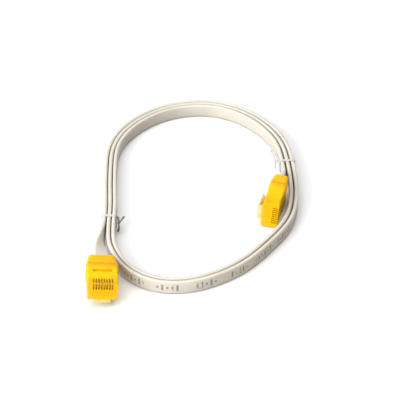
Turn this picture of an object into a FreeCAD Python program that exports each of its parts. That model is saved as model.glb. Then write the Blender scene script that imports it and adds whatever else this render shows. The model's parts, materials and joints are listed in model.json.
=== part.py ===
"""Flat ethernet patch cable: a ribbon cable wound into an open coil on its edge, two wire ties,
and an 8P8C plug with a ribbed boot on each end. Millimetres, +Z up.

A plug's own frame: the mating face is at Y = 0, +Y runs back to the cable, the contacts face +Z
and the latch is on the -Z side. The origin of the whole is under the middle of the two plugs."""

import FreeCAD
import Part
import Sketcher

import math
import os

Vector = FreeCAD.Vector

SIZES = {
    # the modular plug
    "housing_width": 11.68,
    "housing_height": 6.6,
    "housing_shoulder": 15.5,
    "housing_length": 20.4,
    "housing_edge": 0.6,
    "neck_width": 9.4,
    "neck_height": 4.6,
    "contact_pitch": 1.016,
    "contact_count": 8,
    "slot_width": 0.56,
    "slot_length": 4.2,
    "slot_depth": 2.5,
    "chamber_front": 0.85,
    "chamber_rear": 7.0,
    "chamber_width": 8.4,
    "chamber_height": 1.7,
    "cavity_width": 8.4,
    "cavity_top": 1.3,
    "cavity_bottom": -0.8,
    "window_front": 9.2,
    "window_rear": 10.8,
    "window_width": 7.2,
    # what the plug holds
    "blade_thickness": 0.36,
    "blade_front": 0.95,
    "blade_rear": 3.9,
    "blade_top": 2.85,
    "blade_nose": 0.7,
    "conductor_diameter": 0.65,
    "conductor_pitch": 0.68,
    "conductor_tip": 1.1,
    "conductor_straight": 0.5,
    "bar_front": 4.8,
    "bar_rear": 6.6,
    "bar_width": 8.2,
    "bar_height": 1.5,
    "bar_bore": 0.8,
    "wedge_gap": 0.1,
    "wedge_recess": 0.7,
    "wedge_slope": 0.5,
    # the latch
    "latch_width": 6.2,
    "latch_arm_width": 3.25,
    "latch_shoulder": 3.4,
    "latch_length": 10.6,
    "latch_thickness": 0.75,
    "latch_root_y": 0.85,
    "latch_root_drop": 0.55,
    "latch_root_radius": 0.45,
    "latch_nose_drop": 2.3,
    "latch_tail_drop": 1.6,
    "latch_bend": 0.7,
    # the boot
    "boot_front": 10.9,
    "boot_length": 11.1,
    "boot_width": 12.4,
    "boot_height": 7.3,
    "boot_rear_width": 10.4,
    "boot_rear_height": 6.0,
    "boot_corner": 1.0,
    "boot_clearance": 0.05,
    "boot_rear_wall": 1.5,
    "rib_count": 4,
    "rib_length": 1.1,
    "rib_pitch": 1.8,
    "rib_height": 0.3,
    # the flat cable
    "ribbon_width": 5.6,
    "ribbon_thickness": 1.5,
    "ribbon_slack": 0.15,
    "jacket_end": 9.0,
    # the coil: wound inwards from its start angle, its turns closest together on one side
    "coil_start_angle": 194,
    "coil_sweep": 896,
    "coil_tight_pitch": 1.9,
    "coil_loose_pitch": 2.2,
    "coil_tight_side": 155,
    "coil_points_per_turn": 72,
    # the wire ties
    "tie_thickness": 0.35,
    "tie_width": 1.4,
    "tie_slack": 0.2,
    "tie_left_angle": 190,
    "tie_right_angle": 22.5,
    "tie_layers": 3,
    "tail_diameter": 0.9,
    "tail_height": 5.6,
    "tail_stem": 1.2,
    # how each end lies: its mating face's centre and its turns about Z, X and Y in degrees
    "end_a_x": -32.6,
    "end_a_y": -36.4,
    "end_a_z": 7.85,
    "end_a_yaw": 4.5,
    "end_a_pitch": -5,
    "end_a_roll": 5,
    "end_b_x": 32.3,
    "end_b_y": 15.6,
    "end_b_z": 6.45,
    "end_b_yaw": -13.2,
    "end_b_pitch": 0,
    "end_b_roll": 95,
}

ENDS = ("a", "b")

# The middle line of the coil's outermost turn, anticlockwise from the right, at equal steps of its angle.
COIL_OUTLINE = [
    (45.0, 31.5),
    (44.5, 53.5),
    (40.5, 76.0),
    (27.5, 95.5),
    (9.5, 105.0),
    (-10.5, 102.0),
    (-26.5, 88.5),
    (-35.0, 69.5),
    (-35.5, 45.0),
    (-34.5, 24.0),
    (-34.5, 8.5),
    (-33.0, -5.0),
    (-25.5, -20.0),
    (-12.0, -28.5),
    (4.0, -27.5),
    (20.5, -17.5),
    (33.0, -2.0),
    (42.0, 14.0),
]

# The loose ribbon between each tie and its plug: what the route passes between the coil and the boot.
LEAD_POINTS = {
    "a": [(-35.0, 6.4, 3.4), (-35.3, -0.6, 4.0), (-34.9, -7.6, 5.2)],
    "b": [(39.2, 47.6, 3.2), (39.0, 43.9, 4.8), (38.1, 40.4, 6.4)],
}

# The ties' tails: where the stem from the band parts, then the way of each free end.
TAIL_POINTS = {
    "left": [
        (-28.7, 12.8, 4.2),
        [(-27.6, 14.2, 4.6), (-26.6, 15.9, 5.5)],
        [(-28.2, 11.8, 3.0), (-29.0, 10.8, 1.6)],
    ],
    "right": [
        (36.1, 57.2, 4.6),
        [(35.4, 60.2, 5.0), (34.3, 64.0, 5.6)],
        [(35.9, 56.0, 3.4), (36.1, 54.8, 1.8)],
    ],
}

doc = FreeCAD.newDocument("patch_cable")
dims = doc.addObject("Spreadsheet::Sheet", "dims")
aliases = []
nodes = []


def add_size(alias, value):
    """One more row of the sheet."""
    aliases.append(alias)
    row = len(aliases)
    dims.set(f"A{row}", alias)
    dims.set(f"B{row}", str(value))
    dims.setAlias(f"B{row}", alias)


def size(alias):
    """The value of one cell of the sheet."""
    return float(dims.get(alias))


for alias, value in SIZES.items():
    add_size(alias, value)
doc.recompute()


# ---------------------------------------------------------------- sketches and features


def new_body(label):
    body = doc.addObject("PartDesign::Body", label)
    body.Label = label
    nodes.append(body)
    return body


def new_sketch(body, plane, offset):
    """A sketch on one of the body's origin planes, moved along the plane's normal by an expression."""
    sketch = body.newObject("Sketcher::SketchObject", "sketch")
    support = next(f for f in body.Origin.OriginFeatures if f.Role == plane)
    sketch.AttachmentSupport = [(support, "")]
    sketch.MapMode = "FlatFace"
    sketch.setExpression("AttachmentOffset.Base.z", offset)
    return sketch


def outline(sketch, points):
    """A closed outline of straight lines; each corner is a pair of expressions of the sheet's cells."""
    count = len(points)
    first = sketch.GeometryCount
    for i in range(count):
        here, there = (math.tau * i / count, math.tau * (i + 1) / count)
        sketch.addGeometry(
            Part.LineSegment(
                Vector(math.cos(here), math.sin(here), 0),
                Vector(math.cos(there), math.sin(there), 0),
            )
        )
    for i in range(count):
        sketch.addConstraint(
            Sketcher.Constraint("Coincident", first + i, 2, first + (i + 1) % count, 1)
        )
    for i, corner in enumerate(points):
        for kind, expression in zip(("DistanceX", "DistanceY"), corner):
            index = sketch.addConstraint(
                Sketcher.Constraint(kind, -1, 1, first + i, 1, 1.0)
            )
            name = f"corner_{first + i}_{kind}"
            sketch.renameConstraint(index, name)
            sketch.setExpression(f"Constraints.{name}", expression)


def rectangle(sketch, left, right, bottom, top):
    outline(sketch, [(left, bottom), (right, bottom), (right, top), (left, top)])


def cut_rectangle(sketch, width, height, cut):
    """A rectangle about the sketch's origin with its corners cut off."""
    x, y = (f"({width}) / 2", f"({height}) / 2")
    outline(
        sketch,
        [
            (f"-{x} + {cut}", f"-{y}"),
            (f"{x} - {cut}", f"-{y}"),
            (x, f"-{y} + {cut}"),
            (x, f"{y} - {cut}"),
            (f"{x} - {cut}", y),
            (f"-{x} + {cut}", y),
            (f"-{x}", f"{y} - {cut}"),
            (f"-{x}", f"-{y} + {cut}"),
        ],
    )


def section(body, y):
    """A sketch across the plug at a distance behind the mating face."""
    return new_sketch(body, "XZ_Plane", f"-({y})")


def pad(body, sketch, length, symmetric=False, backwards=False):
    feature = body.newObject("PartDesign::Pad", "pad")
    feature.Profile = sketch
    feature.SideType = "Symmetric" if symmetric else "One side"
    feature.Reversed = backwards
    feature.setExpression("Length", length)
    return feature


def pocket(body, sketch, length, backwards=False):
    feature = body.newObject("PartDesign::Pocket", "pocket")
    feature.Profile = sketch
    feature.Reversed = backwards
    feature.setExpression("Length", length)
    return feature


def repeat_along_x(body, feature, count, pitch):
    """Copies a feature along the body's X axis."""
    pattern = body.newObject("PartDesign::LinearPattern", "pattern")
    axis = next(f for f in body.Origin.OriginFeatures if f.Role == "X_Axis")
    pattern.Originals = [feature]
    pattern.Direction = (axis, [""])
    pattern.setExpression("Length", f"({count} - 1) * {pitch}")
    pattern.setExpression("Occurrences", count)
    body.Tip = pattern
    return pattern


def round_edges(body, feature, chosen, radius):
    """Fillets the feature's edges that the chooser picks."""
    doc.recompute()
    names = [
        f"Edge{i}" for i, edge in enumerate(feature.Shape.Edges, start=1) if chosen(edge)
    ]
    fillet = body.newObject("PartDesign::Fillet", "fillet")
    fillet.Base = (feature, names)
    fillet.setExpression("Radius", radius)
    return fillet


def edge_through(y, z):
    """Picks edges along X that pass through a place in a plug's side view."""

    def chosen(edge):
        middle = edge.BoundBox.Center
        return (
            edge.BoundBox.YLength < Part.Precision.confusion()
            and edge.BoundBox.ZLength < Part.Precision.confusion()
            and math.isclose(middle.y, y, abs_tol=1e-4)
            and math.isclose(middle.z, z, abs_tol=1e-4)
        )

    return chosen


# ---------------------------------------------------------------- routes and swept solids


def route(points):
    """Straight runs joined by tangent arcs, each as large as its two runs allow, and the arcs' radii."""
    reach_share = 0.45
    edges, radii, start = [], [], points[0]
    for before, corner, after in zip(points, points[1:], points[2:]):
        back = (before - corner).normalize()
        ahead = (after - corner).normalize()
        reach = reach_share * min((before - corner).Length, (after - corner).Length)
        half_turn = (math.pi - back.getAngle(ahead)) / 2
        radius = reach / math.tan(half_turn)
        inwards = (back + ahead).normalize()
        middle = corner + inwards * (radius / math.cos(half_turn) - radius)
        enter, leave = (corner + back * reach, corner + ahead * reach)
        edges.append(Part.LineSegment(start, enter).toShape())
        edges.append(Part.Arc(enter, middle, leave).toShape())
        radii.append(radius)
        start = leave
    edges.append(Part.LineSegment(start, points[-1]).toShape())
    return Part.Wire(edges), radii


def new_solid(label, shape, placement=FreeCAD.Placement()):
    feature = doc.addObject("Part::Feature", label)
    feature.Label = label
    feature.Shape = shape
    feature.Placement = placement
    nodes.append(feature)
    return feature


def round_wire(points, diameter):
    """A round wire swept along a route."""
    path, _ = route(points)
    start = points[0]
    circle = Part.Wire(
        Part.Circle(start, points[1] - start, diameter / 2).toShape()
    )
    return path.makePipeShell([circle], True, False)


def flat_ribbon(label, points, face, first_width, last_width, twist_end):
    """The flat cable lofted along a route from a section that faces the coil's end; its width turns
    from one direction to another before twist_end."""
    stations = 36
    path, radii = route(points)
    print(label, "arc radii", [round(radius, 1) for radius in radii])
    places = path.discretize(Number=stations)
    sections = []
    for i, place in enumerate(places):
        tangent = (places[min(i + 1, stations - 1)] - places[max(i - 1, 0)]).normalize()
        share = min(1.0, path.Length * i / (stations - 1) / twist_end)
        turned = share * share * (3 - 2 * share)
        across = first_width * (1 - turned) + last_width * turned
        if i:
            across = (across - tangent * across.dot(tangent)).normalize()
        through = tangent.cross(across) if i else face
        half_width = across * (size("ribbon_width") / 2)
        half_thickness = through * (size("ribbon_thickness") / 2)
        corners = [
            place - half_width - half_thickness,
            place + half_width - half_thickness,
            place + half_width + half_thickness,
            place - half_width + half_thickness,
        ]
        sections.append(Part.makePolygon(corners + corners[:1]))
    solid = Part.makeLoft(sections, True, True)
    swept = size("ribbon_width") * size("ribbon_thickness") * path.Length
    print(label, "length", round(path.Length, 1), "volume over swept", round(solid.Volume / swept, 3))
    return new_solid(label, solid)


# ---------------------------------------------------------------- the pieces of one plug


def make_housing(name):
    body = new_body(f"housing_{name}")
    x, z = ("dims.housing_width / 2", "dims.housing_height / 2")
    front = section(body, "0")
    rectangle(front, f"-{x}", x, f"-{z}", z)
    block = pad(body, front, "dims.housing_shoulder", backwards=True)
    round_edges(
        body,
        block,
        lambda edge: edge.BoundBox.YLength > size("housing_edge"),
        "dims.housing_edge",
    )
    neck = section(body, "dims.housing_shoulder")
    rectangle(
        neck,
        "-dims.neck_width / 2",
        "dims.neck_width / 2",
        "-dims.neck_height / 2",
        "dims.neck_height / 2",
    )
    pad(body, neck, "dims.housing_length - dims.housing_shoulder", backwards=True)
    chamber = section(body, "dims.chamber_front")
    rectangle(
        chamber,
        "-dims.chamber_width / 2",
        "dims.chamber_width / 2",
        "-dims.chamber_height / 2",
        "dims.chamber_height / 2",
    )
    pocket(body, chamber, "dims.chamber_rear - dims.chamber_front")
    cavity = section(body, "dims.chamber_rear")
    rectangle(
        cavity,
        "-dims.cavity_width / 2",
        "dims.cavity_width / 2",
        "dims.cavity_bottom",
        "dims.cavity_top",
    )
    pocket(body, cavity, "dims.housing_length - dims.chamber_rear")
    window = new_sketch(body, "XY_Plane", z)
    rectangle(
        window,
        "-dims.window_width / 2",
        "dims.window_width / 2",
        "dims.window_front",
        "dims.window_rear",
    )
    pocket(body, window, f"{z} - dims.cavity_top")
    slot = new_sketch(body, "XY_Plane", z)
    first = "(dims.contact_count - 1) / 2 * dims.contact_pitch"
    rectangle(
        slot,
        f"-{first} - dims.slot_width / 2",
        f"-{first} + dims.slot_width / 2",
        "0",
        "dims.slot_length",
    )
    first_slot = pocket(body, slot, "dims.slot_depth")
    repeat_along_x(body, first_slot, "dims.contact_count", "dims.contact_pitch")
    return body


def make_latch(name):
    body = new_body(f"latch_{name}")
    bottom = "-dims.housing_height / 2"
    root = f"{bottom} - dims.latch_root_drop"
    nose = f"{bottom} - dims.latch_nose_drop"
    tail = f"{bottom} - dims.latch_tail_drop"
    side = new_sketch(body, "YZ_Plane", "0")
    outline(
        side,
        [
            ("dims.latch_root_y - dims.latch_root_radius", root),
            ("dims.latch_root_y - dims.latch_root_radius", nose),
            ("dims.latch_length", tail),
            ("dims.latch_length", f"{tail} + dims.latch_thickness"),
            (
                "dims.latch_root_y + dims.latch_root_radius",
                f"{nose} + dims.latch_thickness",
            ),
            ("dims.latch_root_y + dims.latch_root_radius", root),
        ],
    )
    lever = pad(body, side, "dims.latch_width", symmetric=True)
    nose_z = -size("housing_height") / 2 - size("latch_nose_drop")
    front_y = size("latch_root_y") - size("latch_root_radius")
    round_edges(body, lever, edge_through(front_y, nose_z), "dims.latch_bend")
    hinge = new_sketch(body, "YZ_Plane", "0")
    circle = hinge.addGeometry(Part.Circle(Vector(), Vector(0, 0, 1), 1.0))
    for kind, name_of, expression in (
        ("DistanceX", "root_y", "dims.latch_root_y"),
        ("DistanceY", "root_z", root),
    ):
        index = hinge.addConstraint(Sketcher.Constraint(kind, -1, 1, circle, 3, 1.0))
        hinge.renameConstraint(index, name_of)
        hinge.setExpression(f"Constraints.{name_of}", expression)
    index = hinge.addConstraint(Sketcher.Constraint("Radius", circle, 1.0))
    hinge.renameConstraint(index, "root_radius")
    hinge.setExpression("Constraints.root_radius", "dims.latch_root_radius")
    pad(body, hinge, "dims.latch_width", symmetric=True)
    sides = new_sketch(body, "XY_Plane", tail)
    for inner, outer in (
        ("dims.latch_arm_width / 2", "dims.latch_width"),
        ("-dims.latch_width", "-dims.latch_arm_width / 2"),
    ):
        rectangle(sides, inner, outer, "dims.latch_shoulder", "dims.latch_length * 2")
    pocket(body, sides, "dims.latch_tail_drop", backwards=True)
    return body


def make_contact(name, number):
    """A blade in its slot, standing on the wire that it bites into."""
    body = new_body(f"contact_{name}_{number}")
    away = f"({number} - (dims.contact_count + 1) / 2) * dims.contact_pitch"
    side = new_sketch(body, "YZ_Plane", away)
    foot = "dims.conductor_diameter / 2"
    outline(
        side,
        [
            ("dims.blade_front", foot),
            ("dims.blade_rear", foot),
            ("dims.blade_rear", "dims.blade_top - dims.blade_nose"),
            ("dims.blade_rear - dims.blade_nose", "dims.blade_top"),
            ("dims.blade_front", "dims.blade_top"),
        ],
    )
    blade = pad(body, side, "dims.blade_thickness", symmetric=True)
    round_edges(
        body,
        blade,
        edge_through(size("blade_front"), size("blade_top")),
        "dims.blade_nose",
    )
    return body


def make_conductor(name, number, placement):
    """One insulated wire, from the end of the flat jacket to under its blade."""
    away = number - (size("contact_count") + 1) / 2
    in_jacket = away * size("conductor_pitch")
    in_plug = away * size("contact_pitch")
    points = [
        Vector(in_plug, size("conductor_tip"), 0),
        Vector(in_plug, size("chamber_rear"), 0),
        Vector(in_jacket, size("jacket_end") - size("conductor_straight"), 0),
        Vector(in_jacket, size("jacket_end"), 0),
    ]
    wire = round_wire(points, size("conductor_diameter"))
    return new_solid(f"conductor_{name}_{number}", wire, placement)


def make_load_bar(name):
    body = new_body(f"load_bar_{name}")
    front = section(body, "dims.bar_front")
    rectangle(
        front,
        "-dims.bar_width / 2",
        "dims.bar_width / 2",
        "-dims.bar_height / 2",
        "dims.bar_height / 2",
    )
    pad(body, front, "dims.bar_rear - dims.bar_front", backwards=True)
    bore = section(body, "dims.bar_front")
    circle = bore.addGeometry(Part.Circle(Vector(), Vector(0, 0, 1), 1.0))
    bore.addConstraint(Sketcher.Constraint("PointOnObject", circle, 3, -1))
    place = bore.addConstraint(Sketcher.Constraint("DistanceX", -1, 1, circle, 3, 1.0))
    bore.renameConstraint(place, "first_bore")
    bore.setExpression(
        "Constraints.first_bore",
        "-(dims.contact_count - 1) / 2 * dims.contact_pitch",
    )
    radius = bore.addConstraint(Sketcher.Constraint("Radius", circle, 1.0))
    bore.renameConstraint(radius, "bore_radius")
    bore.setExpression("Constraints.bore_radius", "dims.bar_bore / 2")
    first_bore = pocket(body, bore, "dims.bar_rear - dims.bar_front")
    repeat_along_x(body, first_bore, "dims.contact_count", "dims.contact_pitch")
    return body


def make_strain_wedge(name):
    """The bar pressed through the window onto the jacket."""
    body = new_body(f"strain_wedge_{name}")
    side = new_sketch(body, "YZ_Plane", "0")
    front = "dims.window_front + dims.wedge_gap"
    rear = "dims.window_rear - dims.wedge_gap"
    top = "dims.housing_height / 2 - dims.wedge_recess"
    bottom = "dims.ribbon_thickness / 2"
    outline(
        side,
        [
            (front, top),
            (front, f"{bottom} + dims.wedge_slope"),
            (f"{front} + dims.wedge_slope", bottom),
            (f"{rear} - dims.wedge_slope", bottom),
            (rear, f"{bottom} + dims.wedge_slope"),
            (rear, top),
        ],
    )
    pad(body, side, "dims.window_width - 2 * dims.wedge_gap", symmetric=True)
    return body


def make_boot(name):
    body = new_body(f"boot_{name}")
    rear = "(dims.boot_front + dims.boot_length)"
    taper = f"({rear} - dims.housing_shoulder)"
    corner = "dims.boot_corner"
    collar = section(body, "dims.boot_front")
    cut_rectangle(collar, "dims.boot_width", "dims.boot_height", corner)
    pad(body, collar, "dims.housing_shoulder - dims.boot_front", backwards=True)
    wide, narrow = (section(body, "dims.housing_shoulder"), section(body, rear))
    cut_rectangle(
        wide,
        "dims.boot_width - 2 * dims.rib_height",
        "dims.boot_height - 2 * dims.rib_height",
        corner,
    )
    cut_rectangle(
        narrow,
        "dims.boot_rear_width - 2 * dims.rib_height",
        "dims.boot_rear_height - 2 * dims.rib_height",
        corner,
    )
    loft = body.newObject("PartDesign::AdditiveLoft", "taper")
    loft.Profile = wide
    loft.Sections = [narrow]
    for i in range(int(size("rib_count"))):
        place = f"({rear} - dims.rib_length - {i} * dims.rib_pitch)"
        share = f"({rear} - {place}) / {taper}"
        rib = section(body, place)
        cut_rectangle(
            rib,
            f"dims.boot_rear_width + (dims.boot_width - dims.boot_rear_width) * {share}",
            f"dims.boot_rear_height + (dims.boot_height - dims.boot_rear_height) * {share}",
            corner,
        )
        pad(body, rib, "dims.rib_length", backwards=True)
    for start, end, width, height in (
        ("dims.boot_front", "dims.housing_shoulder", "dims.housing_width", "dims.housing_height"),
        ("dims.housing_shoulder", f"{rear} - dims.boot_rear_wall", "dims.neck_width", "dims.neck_height"),
        ("dims.housing_shoulder", rear, "dims.ribbon_width", "dims.ribbon_thickness"),
    ):
        slack = "dims.boot_clearance" if width != "dims.ribbon_width" else "dims.ribbon_slack"
        hollow = section(body, start)
        rectangle(
            hollow,
            f"-{width} / 2 - {slack}",
            f"{width} / 2 + {slack}",
            f"-{height} / 2 - {slack}",
            f"{height} / 2 + {slack}",
        )
        pocket(body, hollow, f"{end} - {start}")
    return body


def end_placement(name):
    """Where a plug lies: rolled about its own length, then pitched, then turned about the vertical."""
    roll = FreeCAD.Rotation(Vector(0, 1, 0), size(f"end_{name}_roll"))
    pitch = FreeCAD.Rotation(Vector(1, 0, 0), size(f"end_{name}_pitch"))
    yaw = FreeCAD.Rotation(Vector(0, 0, 1), size(f"end_{name}_yaw"))
    face = Vector(*(size(f"end_{name}_{axis}") for axis in "xyz"))
    return FreeCAD.Placement(face, yaw * pitch * roll)


def make_end(name):
    placement = end_placement(name)
    bodies = [
        make_housing(name),
        make_latch(name),
        make_load_bar(name),
        make_strain_wedge(name),
        make_boot(name),
    ]
    for number in range(1, int(size("contact_count")) + 1):
        bodies.append(make_contact(name, number))
        make_conductor(name, number, placement)
    for body in bodies:
        body.Placement = placement


# ---------------------------------------------------------------- the coil, its leads and its ties


def outermost(angle):
    """The outermost turn's middle line: a smooth closed curve through its points."""
    count = len(COIL_OUTLINE)
    place = angle % 360 / 360 * count
    first = int(place)
    share = place - first
    before, here, there, after = (
        Vector(*COIL_OUTLINE[(first + step) % count], 0) for step in (-1, 0, 1, 2)
    )
    leave, arrive = ((there - before) / 2, (after - here) / 2)
    rest = 1 - share
    return (
        here * (rest * rest * (1 + 2 * share))
        + leave * (rest * rest * share)
        + there * (share * share * (1 + 2 * rest))
        - arrive * (share * share * rest)
    )


def inwards(angle):
    """The direction from the outermost turn towards the inside of the coil."""
    step = 0.5
    along = outermost(angle - step) - outermost(angle + step)
    return Vector(along.y, -along.x, 0).normalize()


def coil_point(angle, sideways=0):
    """A point of the winding at floor height; the turns lie closer together on one side."""
    tight, loose = (size("coil_tight_pitch"), size("coil_loose_pitch"))
    away = math.radians(angle - size("coil_tight_side"))
    pitch = tight + (loose - tight) * (1 - math.cos(away)) / 2
    turns = (size("coil_start_angle") - angle) / 360
    return outermost(angle) + inwards(angle) * (pitch * turns + sideways)


def turn_outline(first_angle, sideways):
    """One whole turn of the winding, closed by the step at which it began."""
    count = int(size("coil_points_per_turn"))
    points = [coil_point(first_angle - 360 * i / count, sideways) for i in range(count + 1)]
    curve = Part.BSplineCurve()
    curve.interpolate(points)
    return Part.Wire([curve.toShape(), Part.LineSegment(points[-1], points[0]).toShape()])


def make_coil():
    """The wound turns as one closed solid, between the outermost and the innermost face."""
    half = size("ribbon_thickness") / 2
    last_angle = size("coil_start_angle") - size("coil_sweep")
    outer = turn_outline(size("coil_start_angle"), -half)
    inner = turn_outline(last_angle + 360, half)
    ring = Part.Face([outer, inner])
    ring.validate()
    ring.translate(Vector(0, 0, size("tie_thickness")))
    return new_solid("cable_coil", ring.extrude(Vector(0, 0, size("ribbon_width"))))


def make_lead(name):
    """The ribbon from the coil's end to the wires inside the plug."""
    up = Vector(0, 0, 1)
    middle = Vector(0, 0, size("tie_thickness") + size("ribbon_width") / 2)
    angle = size("coil_start_angle") - (0 if name == "a" else size("coil_sweep"))
    start = coil_point(angle) + middle
    placement = end_placement(name)
    entry = placement.multVec(Vector(0, size("boot_front") + size("boot_length"), 0))
    end = placement.multVec(Vector(0, size("jacket_end"), 0))
    points = [start] + [Vector(*point) for point in LEAD_POINTS[name]] + [entry, end]
    twist_end = sum((b - a).Length for a, b in zip(points[:-2], points[1:-1]))
    across = placement.Rotation.multVec(Vector(-1, 0, 0))
    through = (start - points[1]).cross(up)
    face = inwards(angle) * math.copysign(1, -through.dot(inwards(angle)))
    flat_ribbon(f"cable_lead_{name}", points, face, up, across, twist_end)


def make_tie(side):
    """A closed band round the layers, and the twisted tails."""
    angle = size(f"tie_{side}_angle")
    layers = [coil_point(angle - 360 * i) for i in range(int(size("tie_layers")))]
    middle = (layers[0] + layers[-1]) * (1 / 2)
    bundle = (layers[-1] - layers[0]).Length + size("ribbon_thickness")
    add_size(f"tie_{side}_bundle", bundle)
    doc.recompute()
    band = new_body(f"tie_{side}_band")
    ring = new_sketch(band, "XZ_Plane", "0")
    inner = f"dims.tie_{side}_bundle / 2 + dims.tie_slack"
    outer = f"({inner}) + dims.tie_thickness"
    top = "dims.tie_thickness + dims.ribbon_width + dims.tie_slack"
    rectangle(ring, f"-({outer})", outer, "0", f"{top} + dims.tie_thickness")
    rectangle(ring, f"-({inner})", inner, "dims.tie_thickness", top)
    pad(band, ring, "dims.tie_width", symmetric=True)
    direction = inwards(angle)
    band.Placement = FreeCAD.Placement(
        middle, FreeCAD.Rotation(Vector(1, 0, 0), direction)
    )
    face = bundle / 2 + size("tie_slack") + size("tie_thickness")
    fork, *ends = TAIL_POINTS[side]
    root = middle + direction * face + Vector(0, 0, size("tail_height"))
    stem = [root, root + direction * size("tail_stem"), Vector(*fork)]
    ways = [stem] + [[Vector(*point) for point in [fork] + end] for end in ends]
    wires = [round_wire(points, size("tail_diameter")) for points in ways]
    new_solid(f"tie_{side}_tails", wires[0].multiFuse(wires[1:]).removeSplitter())


def check(node):
    """Stops the build if a sub-part failed."""
    features = [node] + (list(node.Group) if hasattr(node, "Group") else [])
    for feature in features:
        if "Invalid" in feature.State or "Error" in feature.State:
            raise RuntimeError(f"{node.Label}: {feature.Name} is {feature.State}")
    if node.Shape.isNull() or not node.Shape.isValid() or not node.Shape.Solids:
        raise RuntimeError(f"{node.Label}: its shape isn't a valid solid")


for end in ENDS:
    make_end(end)
make_coil()
for end in ENDS:
    make_lead(end)
for side in TAIL_POINTS:
    make_tie(side)
doc.recompute()

os.makedirs("parts", exist_ok=True)
for node in nodes:
    check(node)
    node.Shape.exportStep(os.path.join("parts", f"{node.Label}.step"))
print(len(nodes), "nodes")
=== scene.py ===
"""Flat ethernet patch cable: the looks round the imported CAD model. Metres, +Z up.

The ribbon runs from plug a, which lies outside the coil, twists on to its edge, is wound inwards and
ends in plug b, inside the coil. The ribbon, the boots and the ties are made here; the rest is the CAD's
own nodes with materials."""

import json
import math

import bpy
from mathutils import Matrix, Vector


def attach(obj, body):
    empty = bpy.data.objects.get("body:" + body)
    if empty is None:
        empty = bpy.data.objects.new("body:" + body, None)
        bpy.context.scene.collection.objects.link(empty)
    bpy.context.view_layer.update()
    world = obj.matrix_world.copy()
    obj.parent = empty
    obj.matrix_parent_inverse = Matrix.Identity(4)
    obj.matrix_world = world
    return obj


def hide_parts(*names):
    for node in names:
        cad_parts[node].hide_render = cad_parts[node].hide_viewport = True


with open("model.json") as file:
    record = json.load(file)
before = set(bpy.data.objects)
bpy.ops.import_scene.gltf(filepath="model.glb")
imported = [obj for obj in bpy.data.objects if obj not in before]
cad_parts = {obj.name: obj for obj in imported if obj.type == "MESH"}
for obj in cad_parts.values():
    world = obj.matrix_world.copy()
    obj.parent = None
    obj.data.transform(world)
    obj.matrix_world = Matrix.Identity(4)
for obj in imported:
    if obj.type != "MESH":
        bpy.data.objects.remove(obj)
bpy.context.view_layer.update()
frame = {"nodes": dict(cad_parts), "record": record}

MM = 0.001
UP = Vector((0, 0, 1))
ENDS = ("a", "b")
SIDES = ("left", "right")
SCENE = bpy.context.scene

# ---------------------------------------------------------------- the camera

CAMERA_TARGET = Vector((0.0041, 0.03105, 0.003))
CAMERA_DISTANCE = 0.7
CAMERA_ELEVATION = math.radians(35)
CAMERA_LENS = 153.0
CAMERA_SENSOR = 36.0
CAMERA_CLIP = (0.01, 20.0)


def make_camera():
    """A long lens in front of the object, which looks down at it."""
    data = bpy.data.cameras.new("camera")
    data.lens = CAMERA_LENS
    data.sensor_width = CAMERA_SENSOR
    data.clip_start, data.clip_end = CAMERA_CLIP
    camera = bpy.data.objects.new("camera", data)
    back = Vector((0, -math.cos(CAMERA_ELEVATION), math.sin(CAMERA_ELEVATION)))
    camera.location = CAMERA_TARGET + back * CAMERA_DISTANCE
    camera.rotation_euler = (math.pi / 2 - CAMERA_ELEVATION, 0, 0)
    SCENE.collection.objects.link(camera)
    SCENE.camera = camera


make_camera()

# ---------------------------------------------------------------- the route of the ribbon

RIBBON_WIDTH = 5.6 * MM
RIBBON_THICKNESS = 1.5 * MM
# The ribbon stands on its edge, on top of the ties that go round it.
TIE_THICKNESS = 0.35 * MM
MIDDLE_HEIGHT = TIE_THICKNESS + RIBBON_WIDTH / 2

# How each plug lies: its mating face's centre, and its turns about Z, X and Y in degrees.
PLUGS = {
    "a": {"face": (-0.0326, -0.0364, 0.00785), "yaw": 4.5, "pitch": -5, "roll": 5},
    "b": {"face": (0.0323, 0.0156, 0.00645), "yaw": -13.2, "pitch": 0, "roll": 95},
}
# How far behind the mating face the boot ends, and the ribbon ends inside the plug.
BOOT_REAR = 22.0 * MM
JACKET_END = 9.0 * MM

# The loose ribbon between the coil and each plug's boot.
LEAD_POINTS = {
    "a": [(-0.0350, 0.0064, 0.0034), (-0.0353, -0.0006, 0.0040), (-0.0349, -0.0076, 0.0052)],
    "b": [(0.0392, 0.0476, 0.0032), (0.0390, 0.0439, 0.0048), (0.0381, 0.0404, 0.0064)],
}

# The middle line of the coil's outermost turn, anticlockwise from the right. Its angle grows by the same
# amount from each point to the next.
COIL_OUTLINE = [
    (0.0450, 0.0315),
    (0.0445, 0.0535),
    (0.0405, 0.0760),
    (0.0275, 0.0955),
    (0.0095, 0.1050),
    (-0.0105, 0.1020),
    (-0.0265, 0.0885),
    (-0.0350, 0.0695),
    (-0.0355, 0.0450),
    (-0.0345, 0.0240),
    (-0.0345, 0.0085),
    (-0.0330, -0.0050),
    (-0.0255, -0.0200),
    (-0.0120, -0.0285),
    (0.0040, -0.0275),
    (0.0205, -0.0175),
    (0.0330, -0.0020),
    (0.0420, 0.0140),
]

# The coil is wound inwards from its start angle in degrees; its turns are closest together on one side.
COIL_START_ANGLE = 194
COIL_SWEEP = 896
COIL_PITCH = {"tight": 1.9 * MM, "loose": 2.2 * MM}
COIL_TIGHT_SIDE = 155
COIL_STEP = 8
TANGENT_STEP = 0.5
RIBBON_RESOLUTION = 8


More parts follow.
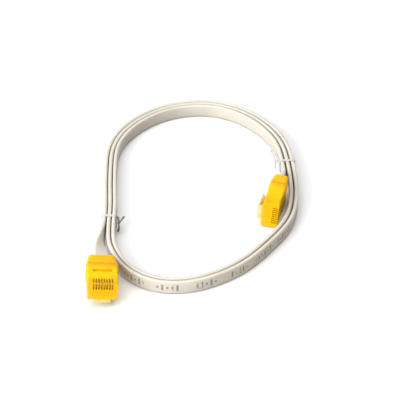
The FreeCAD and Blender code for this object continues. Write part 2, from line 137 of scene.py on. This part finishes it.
def plug_matrix(end):
    """From a plug's own frame, mating face at Y = 0 and cable towards +Y, to the row frame."""
    plug = PLUGS[end]
    turns = (
        Matrix.Rotation(math.radians(plug["yaw"]), 4, "Z")
        @ Matrix.Rotation(math.radians(plug["pitch"]), 4, "X")
        @ Matrix.Rotation(math.radians(plug["roll"]), 4, "Y")
    )
    return Matrix.Translation(plug["face"]) @ turns


def outermost(angle):
    """The outermost turn's middle line: a smooth closed curve through its points."""
    count = len(COIL_OUTLINE)
    place = angle % 360 / 360 * count
    first = int(place)
    share = place - first
    before, here, there, after = (
        Vector((*COIL_OUTLINE[(first + step) % count], 0)) for step in (-1, 0, 1, 2)
    )
    leave, arrive = ((there - before) / 2, (after - here) / 2)
    rest = 1 - share
    return (
        here * (rest * rest * (1 + 2 * share))
        + leave * (rest * rest * share)
        + there * (share * share * (1 + 2 * rest))
        - arrive * (share * share * rest)
    )


def inwards(angle):
    """The direction from the outermost turn towards the inside of the coil."""
    along = outermost(angle - TANGENT_STEP) - outermost(angle + TANGENT_STEP)
    return Vector((along.y, -along.x, 0)).normalized()


def coil_point(angle):
    """A point of the winding at floor height; the turns lie closer together on one side."""
    away = math.radians(angle - COIL_TIGHT_SIDE)
    pitch = COIL_PITCH["tight"]
    pitch += (COIL_PITCH["loose"] - COIL_PITCH["tight"]) * (1 - math.cos(away)) / 2
    turns = (COIL_START_ANGLE - angle) / 360
    return outermost(angle) + inwards(angle) * (pitch * turns)


def ribbon_route():
    """The ribbon's control points, from the wires in plug a to those in plug b."""
    middle = UP * MIDDLE_HEIGHT
    count = round(COIL_SWEEP / COIL_STEP)
    coil = [
        coil_point(COIL_START_ANGLE - COIL_SWEEP * i / count) + middle for i in range(count + 1)
    ]
    start, end = (
        [plug_matrix(name) @ Vector((0, y, 0)) for y in (JACKET_END, BOOT_REAR)] for name in ENDS
    )
    lead_a = [Vector(point) for point in reversed(LEAD_POINTS["a"])]
    lead_b = [Vector(point) for point in LEAD_POINTS["b"]]
    return start + lead_a + coil + lead_b + end[::-1]


def spline_line(points, resolution):
    """Points along the smooth curve that has these control points, as many to each as the resolution."""
    data = bpy.data.curves.new("route", "CURVE")
    data.dimensions = "3D"
    data.resolution_u = resolution
    spline = data.splines.new("NURBS")
    spline.points.add(len(points) - 1)
    for control, point in zip(spline.points, points):
        control.co = (*point, 1)
    spline.order_u = 3
    spline.use_endpoint_u = True
    curve = bpy.data.objects.new("route", data)
    SCENE.collection.objects.link(curve)
    mesh = bpy.data.meshes.new_from_object(curve)
    line = [vertex.co.copy() for vertex in mesh.vertices]
    bpy.data.meshes.remove(mesh)
    bpy.data.objects.remove(curve)
    bpy.data.curves.remove(data)
    return line


# ---------------------------------------------------------------- swept skins

# An edge is sharp if its faces meet at more than this many degrees.
SHARP_ANGLE = 35


def tangents(line):
    """The direction of the line at each point."""
    last = len(line) - 1
    return [(line[min(i + 1, last)] - line[max(i - 1, 0)]).normalized() for i in range(last + 1)]


def square_to(direction, tangent):
    """The part of a direction that is square to a tangent."""
    return (direction - tangent * direction.dot(tangent)).normalized()


def distances(line):
    """How far along the line each point is."""
    along = [0.0]
    for before, here in zip(line, line[1:]):
        along.append(along[-1] + (here - before).length)
    return along


def rounded_section(width, thickness, radius, corner_steps=4, side_steps=1):
    """A rounded rectangle, anticlockwise, as (across the width, through the thickness)."""
    x, y = (width / 2 - radius, thickness / 2 - radius)
    corners = []
    for quarter, (x_sign, y_sign) in enumerate(((1, 1), (-1, 1), (-1, -1), (1, -1))):
        arc = []
        for i in range(corner_steps + 1):
            turn = math.pi / 2 * (quarter + i / corner_steps)
            arc.append((x_sign * x + radius * math.cos(turn), y_sign * y + radius * math.sin(turn)))
        corners.append(arc)
    points = []
    for arc, following in zip(corners, corners[1:] + corners[:1]):
        points += arc
        (x0, y0), (x1, y1) = (arc[-1], following[0])
        for i in range(1, side_steps):
            share = i / side_steps
            points.append((x0 + (x1 - x0) * share, y0 + (y1 - y0) * share))
    return points


def skin_faces(rings, size, closed=False):
    """Quads between the rings of a swept skin, which has a cap on each end unless it's a closed loop."""
    total = rings * size
    faces = []
    for ring in range(rings if closed else rings - 1):
        for i in range(size):
            here, beside = (ring * size + i, ring * size + (i + 1) % size)
            faces.append((here, beside, (beside + size) % total, (here + size) % total))
    if not closed:
        faces.append(tuple(reversed(range(size))))
        faces.append(tuple(range(total - size, total)))
    return faces


def new_object(name, mesh, sharp_angle=SHARP_ANGLE):
    """A smooth-shaded object in the scene."""
    mesh.validate()
    mesh.shade_smooth()
    mesh.set_sharp_from_angle(angle=math.radians(sharp_angle))
    piece = bpy.data.objects.new(name, mesh)
    SCENE.collection.objects.link(piece)
    return piece


def swept(name, line, widths, section):
    """A skin round a line. widths has the section's first axis at each point; its second is square to it."""
    vertices = []
    for point, tangent, width in zip(line, tangents(line), widths):
        across = square_to(width, tangent)
        through = tangent.cross(across)
        vertices += [point + across * a + through * b for a, b in section]
    mesh = bpy.data.meshes.new(name)
    mesh.from_pydata(vertices, [], skin_faces(len(line), len(section)))
    return new_object(name, mesh)


# ---------------------------------------------------------------- the ribbon

RIBBON_EDGE = 0.55 * MM
# A point is on the printed face if it's within this distance of the ribbon's outer side.
PRINT_GAP = 0.02 * MM
# Lead a lies within the first of this many equal parts of the ribbon's points.
LEAD_A_PART = 8


def clamped(share):
    """A share, kept within 0 to 1."""
    return min(1.0, max(0.0, share))


def smooth_step(share):
    """0 to 1, with a gentle start and end."""
    share = clamped(share)
    return share * share * (3 - 2 * share)


def make_ribbon():
    """The flat cable on the route, with how far along and across it each vertex is."""
    route = ribbon_route()
    line = spline_line(route, RIBBON_RESOLUTION)
    along = distances(line)
    boot_rear = plug_matrix("a") @ Vector((0, BOOT_REAR, 0))
    coil_start = coil_point(COIL_START_ANGLE) + UP * MIDDLE_HEIGHT
    twist_from = along[min(range(len(line)), key=lambda i: (line[i] - boot_rear).length)]
    lead_a = range(len(line) // LEAD_A_PART)
    twist_to = along[min(lead_a, key=lambda i: (line[i] - coil_start).length)]
    flat = plug_matrix("a").to_3x3() @ Vector((-1, 0, 0))
    turned = [smooth_step((distance - twist_from) / (twist_to - twist_from)) for distance in along]
    widths = [flat * (1 - upright) + UP * upright for upright in turned]
    section = rounded_section(RIBBON_WIDTH, RIBBON_THICKNESS, RIBBON_EDGE, side_steps=2)
    ribbon = swept("flat_cable", line, widths, section)
    marks = {"along": [], "across": [], "outside": []}
    for distance in along:
        for a, b in section:
            marks["along"].append(distance)
            marks["across"].append(a)
            marks["outside"].append(1.0 if b < PRINT_GAP - RIBBON_THICKNESS / 2 else 0.0)
    for label, values in marks.items():
        attribute = ribbon.data.attributes.new(label, "FLOAT", "POINT")
        attribute.data.foreach_set("value", values)
    return ribbon, line


ribbon, ribbon_line = make_ribbon()

# ---------------------------------------------------------------- materials


# The numbers of a Mix node's two colour inputs and of its colour output.
MIX_COLOURS = (6, 7)
MIX_RESULT = 2


class Nodes:
    """A material's node tree, with short ways to add and join nodes."""

    def __init__(self, name):
        self.material = bpy.data.materials.new(name)
        self.material.use_nodes = True
        self.tree = self.material.node_tree
        self.shader = self.tree.nodes["Principled BSDF"]

    def add(self, kind, **values):
        """A node with its settings."""
        node = self.tree.nodes.new(f"ShaderNode{kind}")
        for key, value in values.items():
            setattr(node, key, value)
        return node

    def join(self, source, target):
        """Links an output to an input."""
        self.tree.links.new(source, target)

    def math(self, operation, first, second=None):
        """An operation on numbers or other nodes' outputs."""
        node = self.add("Math", operation=operation)
        for socket, value in zip(node.inputs, (first, second)):
            if isinstance(value, (int, float)):
                socket.default_value = value
            elif value is not None:
                self.join(value, socket)
        return node.outputs["Value"]

    def noise(self, scale, detail):
        """Noise over the object's own coordinates; scale is in features a metre."""
        place = self.add("TexCoord")
        noise = self.add("TexNoise")
        noise.inputs["Scale"].default_value = scale
        noise.inputs["Detail"].default_value = detail
        self.join(place.outputs["Object"], noise.inputs["Vector"])
        return noise.outputs["Fac"]

    def attribute(self, name):
        """A number that the mesh holds for each vertex."""
        return self.add("Attribute", attribute_name=name).outputs["Fac"]

    def ramp(self, factor, first, last, low=0.35, high=0.65):
        """A colour that goes from first to last as factor goes from low to high."""
        ramp = self.add("ValToRGB")
        ramp.color_ramp.elements[0].position = low
        ramp.color_ramp.elements[1].position = high
        ramp.color_ramp.elements[0].color = (*first, 1)
        ramp.color_ramp.elements[1].color = (*last, 1)
        self.join(factor, ramp.inputs["Fac"])
        return ramp.outputs["Color"]

    def span(self, factor, low, high, first=0.0, last=1.0):
        """Maps first..last to low..high."""
        node = self.add("MapRange")
        node.inputs["From Min"].default_value = first
        node.inputs["From Max"].default_value = last
        node.inputs["To Min"].default_value = low
        node.inputs["To Max"].default_value = high
        self.join(factor, node.inputs["Value"])
        return node.outputs["Result"]

    def mix(self, factor, first, second):
        """Mixes two colours; either may be a plain colour."""
        node = self.add("Mix", data_type="RGBA")
        self.join(factor, node.inputs["Factor"])
        for number, colour in zip(MIX_COLOURS, (first, second)):
            socket = node.inputs[number]
            if isinstance(colour, tuple):
                socket.default_value = (*colour, 1)
            else:
                self.join(colour, socket)
        return node.outputs[MIX_RESULT]

    def bump(self, height, strength, depth):
        """Roughens the surface by a height; depth is in metres."""
        node = self.add("Bump")
        node.inputs["Strength"].default_value = strength
        node.inputs["Distance"].default_value = depth
        self.join(height, node.inputs["Height"])
        self.join(node.outputs["Normal"], self.shader.inputs["Normal"])

    def set(self, **values):
        """Sets the shader's own sockets; an underscore in a name stands for a space."""
        for key, value in values.items():
            self.shader.inputs[key.replace("_", " ")].default_value = value


# How far along the shell its thin, clearer front begins to thicken and is full, as shares of its length.
NOSE_END = (0.12, 0.34)
# How much rougher or smoother than the middle value a plastic is in places, as a share of it.
GLOSS_SPREAD = 0.15


def moulded_plastic(name, light, dark, roughness, grain, cover=1.0, nose_cover=None, subsurface=0.0):
    """Injection-moulded plastic, a little cloudy, with fine grain and uneven gloss.

    cover is its opacity, and nose_cover is that of its front, where it is thin."""
    nodes = Nodes(name)
    cloud = nodes.noise(scale=260, detail=2.0)
    fine = nodes.noise(scale=5200, detail=2.0)
    nodes.join(nodes.ramp(cloud, dark, light), nodes.shader.inputs["Base Color"])
    gloss = nodes.span(cloud, roughness * (1 - GLOSS_SPREAD), roughness * (1 + GLOSS_SPREAD))
    nodes.join(gloss, nodes.shader.inputs["Roughness"])
    nodes.bump(fine, strength=grain, depth=0.02 * MM)
    nodes.set(IOR=1.5, Specular_IOR_Level=0.2, Alpha=cover, Subsurface_Weight=subsurface)
    if nose_cover:
        place = nodes.add("SeparateXYZ")
        nodes.join(nodes.add("TexCoord").outputs["Generated"], place.inputs["Vector"])
        alpha = nodes.span(place.outputs["Y"], nose_cover, cover, *NOSE_END)
        nodes.join(alpha, nodes.shader.inputs["Alpha"])
    nodes.set(Subsurface_Radius=(1.0, 0.6, 0.25), Subsurface_Scale=1.5 * MM)
    return nodes.material


# How near a wall has to be for the painted shade to darken a blade.
SLOT_SHADE = 0.9 * MM
# How open to the air the parts of a blade are that get the full painted shade, and those that get none of
# it.
SLOT_OPENNESS = (0.15, 0.42)
# The colour of the painted shade that darkens a blade deep in its slot.
PAINTED_SHADE_GOLD = (0.3, 0.13, 0.012)


def gold_plating(name):
    """Plated blades: fine rolling scratches, and painted shade where a blade is deep in its slot."""
    nodes = Nodes(name)
    cloud = nodes.noise(scale=900, detail=3.0)
    fine = nodes.noise(scale=9000, detail=2.0)
    open_air = nodes.add("AmbientOcclusion", samples=6)
    open_air.inputs["Distance"].default_value = SLOT_SHADE
    gold = nodes.ramp(cloud, (0.8, 0.46, 0.04), (0.95, 0.62, 0.08))
    # Painted shade: the gold darkens towards the shade colour where walls are near.
    shade = nodes.span(open_air.outputs["AO"], 1.0, 0.0, *SLOT_OPENNESS)
    nodes.join(nodes.mix(shade, gold, PAINTED_SHADE_GOLD), nodes.shader.inputs["Base Color"])
    nodes.join(nodes.span(cloud, low=0.22, high=0.38), nodes.shader.inputs["Roughness"])
    nodes.bump(fine, strength=0.2, depth=0.01 * MM)
    nodes.set(Metallic=1.0)
    return nodes.material


def insulated_wire(name, colour, band):
    """A wire's insulation; the white ones have a coloured tracer band."""
    nodes = Nodes(name)
    place = nodes.add("TexCoord")
    wave = nodes.add("TexWave", wave_type="BANDS", bands_direction="Y")
    wave.inputs["Scale"].default_value = 110
    wave.inputs["Distortion"].default_value = 1.5
    nodes.join(place.outputs["Object"], wave.inputs["Vector"])
    banded = nodes.ramp(wave.outputs["Fac"], colour, band, low=0.55, high=0.65)
    nodes.join(banded, nodes.shader.inputs["Base Color"])
    fine = nodes.noise(scale=6000, detail=2.0)
    nodes.join(nodes.span(fine, low=0.3, high=0.42), nodes.shader.inputs["Roughness"])
    nodes.bump(fine, strength=0.1, depth=0.01 * MM)
    return nodes.material


# The print: groups of long and short ticks along the middle of the ribbon's outer face.
TICK_PITCH = 1.9 * MM
TICK_SHARE = 0.42
TICK_HEIGHT = 2.7 * MM
SHORT_TICK_PITCH = 4.7 * MM
SHORT_TICK_SHARE = 0.5
SHORT_TICK_CUT = 0.9 * MM
GROUP_PITCH = 14.8 * MM
GROUP_SHARE = 0.66
PRINT_START = 1.2 * MM
INK = (0.16, 0.14, 0.13)
INK_STRENGTH = 0.8
# Ink is missing where the noise is below this.
INK_WORN = 0.36
# Above this, a point is on the outer face and not on the way round to its edge.
ON_OUTSIDE = 0.98
# The faint lines that drawing leaves along the jacket.
LINE_PITCH = 0.72 * MM
LINE_STRENGTH = 0.5


def ribbon_jacket(name):
    """The ribbon's soft jacket: faint drawing lines, cloudy colour and a printed row of ticks."""
    nodes = Nodes(name)
    cloud = nodes.noise(scale=120, detail=3.0)
    fine = nodes.noise(scale=4200, detail=3.0)
    along = nodes.math("SUBTRACT", nodes.attribute("along"), PRINT_START)
    across = nodes.attribute("across")
    jacket = nodes.ramp(cloud, (0.6, 0.57, 0.5), (0.65, 0.62, 0.55), low=0.3, high=0.7)
    tick, group, short = (
        nodes.math("LESS_THAN", nodes.math("FRACT", nodes.math("DIVIDE", along, pitch)), share)
        for pitch, share in (
            (TICK_PITCH, TICK_SHARE),
            (GROUP_PITCH, GROUP_SHARE),
            (SHORT_TICK_PITCH, SHORT_TICK_SHARE),
        )
    )
    height = nodes.math("SUBTRACT", TICK_HEIGHT / 2, nodes.math("MULTIPLY", short, SHORT_TICK_CUT))
    middle = nodes.math("LESS_THAN", nodes.math("ABSOLUTE", across), height)
    outside = nodes.math("GREATER_THAN", nodes.attribute("outside"), ON_OUTSIDE)
    kept = nodes.math("GREATER_THAN", nodes.noise(scale=900, detail=1.0), INK_WORN)
    ink = tick
    for mask in (group, middle, outside, kept):
        ink = nodes.math("MULTIPLY", ink, mask)
    ink = nodes.math("MULTIPLY", ink, INK_STRENGTH)
    nodes.join(nodes.mix(ink, jacket, INK), nodes.shader.inputs["Base Color"])
    nodes.join(nodes.span(fine, low=0.36, high=0.5), nodes.shader.inputs["Roughness"])
    lines = nodes.math("SINE", nodes.math("MULTIPLY", across, math.tau / LINE_PITCH))
    relief = nodes.math("ADD", nodes.math("MULTIPLY", lines, LINE_STRENGTH), fine)
    nodes.bump(relief, strength=0.12, depth=0.03 * MM)
    nodes.set(IOR=1.48, Subsurface_Weight=0.7, Subsurface_Scale=1.4 * MM)
    nodes.set(Subsurface_Radius=(1.0, 0.8, 0.6))
    return nodes.material


def tie_film(name, light, dark, cover):
    """The ties' plastic film, creased where it is bent; cover is its opacity."""
    nodes = Nodes(name)
    crease = nodes.noise(scale=1500, detail=3.0)
    nodes.join(nodes.ramp(crease, dark, light), nodes.shader.inputs["Base Color"])
    nodes.join(nodes.span(crease, low=0.12, high=0.3), nodes.shader.inputs["Roughness"])
    nodes.bump(crease, strength=0.5, depth=0.05 * MM)
    nodes.set(IOR=1.45, Alpha=cover)
    return nodes.material


def steel_wire(name):
    """The wire along the middle of the ties' bands; it stands out a little on both sides of the film."""
    nodes = Nodes(name)
    cloud = nodes.noise(scale=2500, detail=2.0)
    nodes.join(nodes.ramp(cloud, (0.45, 0.45, 0.45), (0.6, 0.6, 0.59)), nodes.shader.inputs["Base Color"])
    nodes.join(nodes.span(cloud, low=0.35, high=0.55), nodes.shader.inputs["Roughness"])
    nodes.bump(cloud, strength=0.2, depth=0.01 * MM)
    nodes.set(Metallic=0.6)
    return nodes.material


MATERIALS = {
    "plug_plastic": moulded_plastic(
        "plug_plastic",
        light=(0.98, 0.6, 0.003),
        dark=(0.93, 0.53, 0.002),
        roughness=0.16,
        grain=0.05,
        cover=0.95,
        nose_cover=0.74,
        subsurface=0.4,
    ),
    "latch_plastic": moulded_plastic(
        "latch_plastic",
        light=(0.95, 0.74, 0.34),
        dark=(0.9, 0.64, 0.2),
        roughness=0.2,
        grain=0.05,
        cover=0.75,
        subsurface=0.35,
    ),
    "boot_plastic": moulded_plastic(
        "boot_plastic",
        light=(0.86, 0.48, 0.0),
        dark=(0.8, 0.42, 0.0),
        roughness=0.38,
        grain=0.25,
        subsurface=0.15,
    ),
    "bar_plastic": moulded_plastic(
        "bar_plastic",
        light=(0.9, 0.72, 0.3),
        dark=(0.84, 0.62, 0.2),
        roughness=0.25,
        grain=0.05,
        cover=0.8,
    ),
    "contact_gold": gold_plating("contact_gold"),
    "ribbon_jacket": ribbon_jacket("ribbon_jacket"),
    "tie_band": tie_film("tie_band", light=(0.9, 0.92, 0.94), dark=(0.66, 0.68, 0.72), cover=0.5),
    "tie_twist_left": tie_film(
        "tie_twist_left", light=(0.2, 0.19, 0.18), dark=(0.08, 0.075, 0.065), cover=0.9
    ),
    "tie_twist_right": tie_film(
        "tie_twist_right", light=(0.7, 0.72, 0.74), dark=(0.4, 0.41, 0.42), cover=0.6
    ),
    "tie_core": steel_wire("tie_core"),
}
WIRE_COLOURS = {
    "orange": (0.78, 0.16, 0.01),
    "green": (0.02, 0.25, 0.04),
    "blue": (0.01, 0.06, 0.45),
    "brown": (0.12, 0.04, 0.015),
}
WHITE_INSULATION = (0.8, 0.8, 0.78)
for colour_name, colour in WIRE_COLOURS.items():
    MATERIALS[f"wire_{colour_name}"] = insulated_wire(f"wire_{colour_name}", colour, colour)
    MATERIALS[f"wire_white_{colour_name}"] = insulated_wire(
        f"wire_white_{colour_name}", WHITE_INSULATION, colour
    )


def finish_piece(piece, material):
    """Gives a piece its material."""
    piece.data.materials.clear()
    piece.data.materials.append(MATERIALS[material])


for entry in frame["record"]["subparts"]:
    slot = entry["material_slot"]
    finish_piece(frame["nodes"][entry["node"]], "tie_band" if slot == "tie_film" else slot)

# ---------------------------------------------------------------- the boots

# The boot's collar runs from its front to its shoulder, and its ribs from there to its rear.
BOOT_FRONT = 10.9 * MM
BOOT_SHOULDER = 15.5 * MM
# The boot's size over its collar and at its rear.
BOOT_WIDTH = (12.4 * MM, 10.4 * MM)
BOOT_HEIGHT = (7.3 * MM, 6.0 * MM)
BOOT_CORNER = 1.25 * MM
BOOT_CORNER_STEPS = 5
BOOT_SHARP_ANGLE = 50
RIB_HEIGHT = 0.3 * MM
RIB_LENGTH = 1.1 * MM
RIB_PITCH = 1.8 * MM
RIB_COUNT = 4
RIB_ROUND = 0.22 * MM
COLLAR_ROUND = 0.25 * MM
# Each round is two chamfers that meet at this share of it, both along the boot and below its top.
RIB_ROUND_MIDDLE = 0.35
COLLAR_ROUND_MIDDLE = 0.3
BOOT_HOLE_SLACK = 0.12 * MM
BOOT_HOLE_DEPTH = 1.4 * MM
BOOT_HOLE_CORNER = RIBBON_THICKNESS / 3
# How steep the grooves' walls are, as the length of a wall along the boot.
BOOT_LIP = 0.05 * MM


def boot_size(y):
    """The ribs' outer half width and half height at a distance from the mating face."""
    share = clamped((y - BOOT_SHOULDER) / (BOOT_REAR - BOOT_SHOULDER))
    wide, high = (first + (last - first) * share for first, last in (BOOT_WIDTH, BOOT_HEIGHT))
    return wide / 2, high / 2


def boot_profile():
    """(distance from the mating face, how far below the ribs' tops) along the boot."""
    # The first rib starts right at the shoulder, so the skin folds back over 2 * BOOT_LIP there.
    collar_middle = COLLAR_ROUND * COLLAR_ROUND_MIDDLE
    rib_middle = RIB_ROUND * RIB_ROUND_MIDDLE
    stations = [
        (BOOT_FRONT, COLLAR_ROUND),
        (BOOT_FRONT + collar_middle, collar_middle),
        (BOOT_FRONT + COLLAR_ROUND, 0.0),
        (BOOT_SHOULDER - RIB_ROUND, 0.0),
        (BOOT_SHOULDER, RIB_ROUND),
        (BOOT_SHOULDER + BOOT_LIP, RIB_HEIGHT),
    ]
    for i in reversed(range(RIB_COUNT)):
        start = BOOT_REAR - RIB_LENGTH - i * RIB_PITCH
        end = start + RIB_LENGTH
        stations += [
            (start - BOOT_LIP, RIB_HEIGHT),
            (start, RIB_ROUND),
            (start + rib_middle, rib_middle),
            (start + RIB_ROUND, 0.0),
            (end - RIB_ROUND, 0.0),
            (end - rib_middle, rib_middle),
            (end, RIB_ROUND),
        ]
        if i:
            stations.append((end + BOOT_LIP, RIB_HEIGHT))
    return stations


def make_boot(end):
    """The boot's ribbed outside, its rear face and the hole that the ribbon goes into."""
    rings = []
    for y, below in boot_profile():
        half_width, half_height = boot_size(y)
        ring = rounded_section(
            2 * (half_width - below), 2 * (half_height - below), BOOT_CORNER, BOOT_CORNER_STEPS
        )
        rings.append([(x, y, z) for x, z in ring])
    hole = rounded_section(
        RIBBON_WIDTH + 2 * BOOT_HOLE_SLACK,
        RIBBON_THICKNESS + 2 * BOOT_HOLE_SLACK,
        BOOT_HOLE_CORNER,
        BOOT_CORNER_STEPS,
    )
    rings.append([(x, BOOT_REAR, z) for x, z in hole])
    rings.append([(x, BOOT_REAR - BOOT_HOLE_DEPTH, z) for x, z in hole])
    size = len(rings[0])
    vertices = [Vector(point) for ring in rings for point in ring]
    mesh = bpy.data.meshes.new(f"boot_sleeve_{end}")
    mesh.from_pydata(vertices, [], skin_faces(len(rings), size))
    mesh.transform(plug_matrix(end))
    boot = new_object(f"boot_sleeve_{end}", mesh, BOOT_SHARP_ANGLE)
    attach(boot, "cable")
    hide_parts(f"boot_{end}")
    finish_piece(boot, "boot_plastic")


for end in ENDS:
    make_boot(end)

# ---------------------------------------------------------------- the wire ties

# Where on the coil's outline each tie is, in degrees, and how many turns it holds.
TIE_ANGLES = {"left": 190, "right": 22.5}
TIE_LAYERS = 3
TIE_SLACK = 0.12 * MM
TIE_WIDTH = 1.4 * MM
TIE_FILM = 0.16 * MM
TIE_CORE = 0.28 * MM
TIE_CORNER = 0.5 * MM
# The corner radius of a film's, a wire's or a strip's section, as a share of its thickness.
SECTION_ROUND = 0.45
STEM_HEIGHT = 5.6 * MM
STEM_RUN = 1.2 * MM
STRIP_WIDTH = 0.95 * MM
STRIP_THICKNESS = 0.55 * MM
STEM_TURN_LENGTH = 2.6 * MM
STEM_TWIST = math.tau / STEM_TURN_LENGTH
STEM_RESOLUTION = 24
TAIL_TURN = math.pi / 2
TAIL_RESOLUTION = 16

# The tails: where the stem from the band parts, then the way of each free end.
TAIL_POINTS = {
    "left": [
        (-0.0287, 0.0128, 0.0042),
        [(-0.0276, 0.0142, 0.0046), (-0.0266, 0.0159, 0.0055)],
        [(-0.0282, 0.0118, 0.0030), (-0.0290, 0.0108, 0.0016)],
    ],
    "right": [
        (0.0361, 0.0572, 0.0046),
        [(0.0354, 0.0602, 0.0050), (0.0343, 0.0640, 0.0056)],
        [(0.0359, 0.0560, 0.0034), (0.0361, 0.0548, 0.0018)],
    ],
}


def tie_frame(side):
    """The middle of the tied layers at floor height, the way inwards, and the layers' half depth."""
    angle = TIE_ANGLES[side]
    layers = [coil_point(angle - 360 * i) for i in range(TIE_LAYERS)]
    middle = (layers[0] + layers[-1]) / 2
    return middle, inwards(angle), (layers[-1] - layers[0]).length / 2 + RIBBON_THICKNESS / 2


def band_loop(side, clear):
    """A closed rounded loop round the tied layers, clear of them by a distance."""
    middle, direction, half_depth = tie_frame(side)
    centre = middle + UP * MIDDLE_HEIGHT
    loop = rounded_section(
        2 * (half_depth + clear), RIBBON_WIDTH + 2 * clear, TIE_CORNER, corner_steps=5, side_steps=6
    )
    return [centre + direction * a + UP * b for a, b in loop], direction


def closed_sweep(name, loop, width, section):
    """A skin round a closed loop."""
    count = len(loop)
    vertices = []
    for i, point in enumerate(loop):
        tangent = (loop[(i + 1) % count] - loop[i - 1]).normalized()
        through = tangent.cross(width)
        vertices += [point + width * a + through * b for a, b in section]
    mesh = bpy.data.meshes.new(name)
    mesh.from_pydata(vertices, [], skin_faces(count, len(section), closed=True))
    return new_object(name, mesh)


def twisted_widths(line, first, rate):
    """A width direction at each point, carried along the line and turned at a rate in radians a metre."""
    widths, carried = [], first
    for distance, tangent in zip(distances(line), tangents(line)):
        carried = square_to(carried, tangent)
        widths.append(Matrix.Rotation(rate * distance, 3, tangent) @ carried)
    return widths


def make_tie(side):
    """The band of film with a wire in it, the twisted stem and the two free ends."""
    film = rounded_section(TIE_WIDTH, TIE_FILM, TIE_FILM * SECTION_ROUND)
    core = rounded_section(TIE_CORE, TIE_CORE, TIE_CORE * SECTION_ROUND)
    strip = rounded_section(STRIP_WIDTH, STRIP_THICKNESS, STRIP_THICKNESS * SECTION_ROUND)
    clear = TIE_FILM / 2 + TIE_SLACK
    loop, direction = band_loop(side, clear)
    sideways = direction.cross(UP)
    band = closed_sweep(f"tie_{side}_wrap", loop, sideways, film)
    wire = closed_sweep(f"tie_{side}_wrap_core", loop, sideways, core)
    middle, _, half_depth = tie_frame(side)
    root = middle + direction * (half_depth + clear) + UP * STEM_HEIGHT
    fork, *ends = TAIL_POINTS[side]
    line = spline_line([root, root + direction * STEM_RUN, Vector(fork)], STEM_RESOLUTION)
    stem = swept(f"tie_{side}_stem", line, twisted_widths(line, UP, STEM_TWIST), strip)
    twists = [stem]
    for number, end in enumerate(ends, start=1):
        line = spline_line([Vector(point) for point in [fork] + end], TAIL_RESOLUTION)
        widths = twisted_widths(line, UP, TAIL_TURN / distances(line)[-1])
        twists.append(swept(f"tie_{side}_end_{number}", line, widths, strip))
    pieces = [(band, "tie_band"), (wire, "tie_core")] + [(twist, f"tie_twist_{side}") for twist in twists]
    for piece, material in pieces:
        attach(piece, "cable")
        finish_piece(piece, material)
    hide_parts(f"tie_{side}_band")
    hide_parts(f"tie_{side}_tails")
    return [piece for piece, _ in pieces]


tie_pieces = [piece for side in SIDES for piece in make_tie(side)]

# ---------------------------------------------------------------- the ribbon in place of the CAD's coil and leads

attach(ribbon, "cable")
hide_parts("cable_coil", "cable_lead_a", "cable_lead_b")
finish_piece(ribbon, "ribbon_jacket")

# ---------------------------------------------------------------- the floor and the light

FLOOR_HALF = 0.7
# The floor looks white, but sends this much light back up to the object.
FLOOR_BOUNCE = (0.5, 0.48, 0.44)


def make_floor():
    """A sheet of white paper, which isn't part of the object."""
    nodes = Nodes("floor")
    cloud = nodes.noise(scale=6, detail=2.0)
    paper = nodes.ramp(cloud, (0.9, 0.9, 0.9), (0.92, 0.92, 0.92))
    seen = nodes.add("LightPath").outputs["Is Camera Ray"]
    nodes.join(nodes.mix(seen, FLOOR_BOUNCE, paper), nodes.shader.inputs["Base Color"])
    nodes.set(Roughness=0.9, Specular_IOR_Level=0.1)
    mesh = bpy.data.meshes.new("floor")
    corners = [(x * FLOOR_HALF, y * FLOOR_HALF, 0) for x, y in ((-1, -1), (1, -1), (1, 1), (-1, 1))]
    mesh.from_pydata(corners, [], [(0, 1, 2, 3)])
    mesh.materials.append(nodes.material)
    floor = bpy.data.objects.new("floor", mesh)
    SCENE.collection.objects.link(floor)


def make_lamp(name, place, size, power):
    """A square soft light that faces the middle of the object."""
    data = bpy.data.lights.new(name, "AREA")
    data.size = size
    data.energy = power
    lamp = bpy.data.objects.new(name, data)
    lamp.location = place
    lamp.rotation_euler = (CAMERA_TARGET - lamp.location).to_track_quat("-Z", "Y").to_euler()
    SCENE.collection.objects.link(lamp)


# How bright the surroundings are to the object, and how bright they look to the camera.
AMBIENT = 0.4
BACKDROP = 1.0
# Each lamp's place, its width in metres and its power in watts.
LAMPS = {
    "key": ((-0.8, -0.68, 0.4), 1.1, 23.0),
    "top": ((0.0, 0.1, 1.2), 1.4, 11.5),
}


def make_light():
    """The even light of the surroundings, and the lamps."""
    world = bpy.data.worlds.new("studio")
    world.use_nodes = True
    background = world.node_tree.nodes["Background"]
    background.inputs["Color"].default_value = (1, 1, 1, 1)
    strength = world.node_tree.nodes.new("ShaderNodeMapRange")
    strength.inputs["To Min"].default_value = AMBIENT
    strength.inputs["To Max"].default_value = BACKDROP
    seen = world.node_tree.nodes.new("ShaderNodeLightPath")
    world.node_tree.links.new(seen.outputs["Is Camera Ray"], strength.inputs["Value"])
    world.node_tree.links.new(strength.outputs["Result"], background.inputs["Strength"])
    SCENE.world = world
    for name, (place, size, power) in LAMPS.items():
        make_lamp(name, Vector(place), size, power)
    SCENE.view_settings.view_transform = "Standard"
    SCENE.view_settings.look = "None"


make_floor()
make_light()
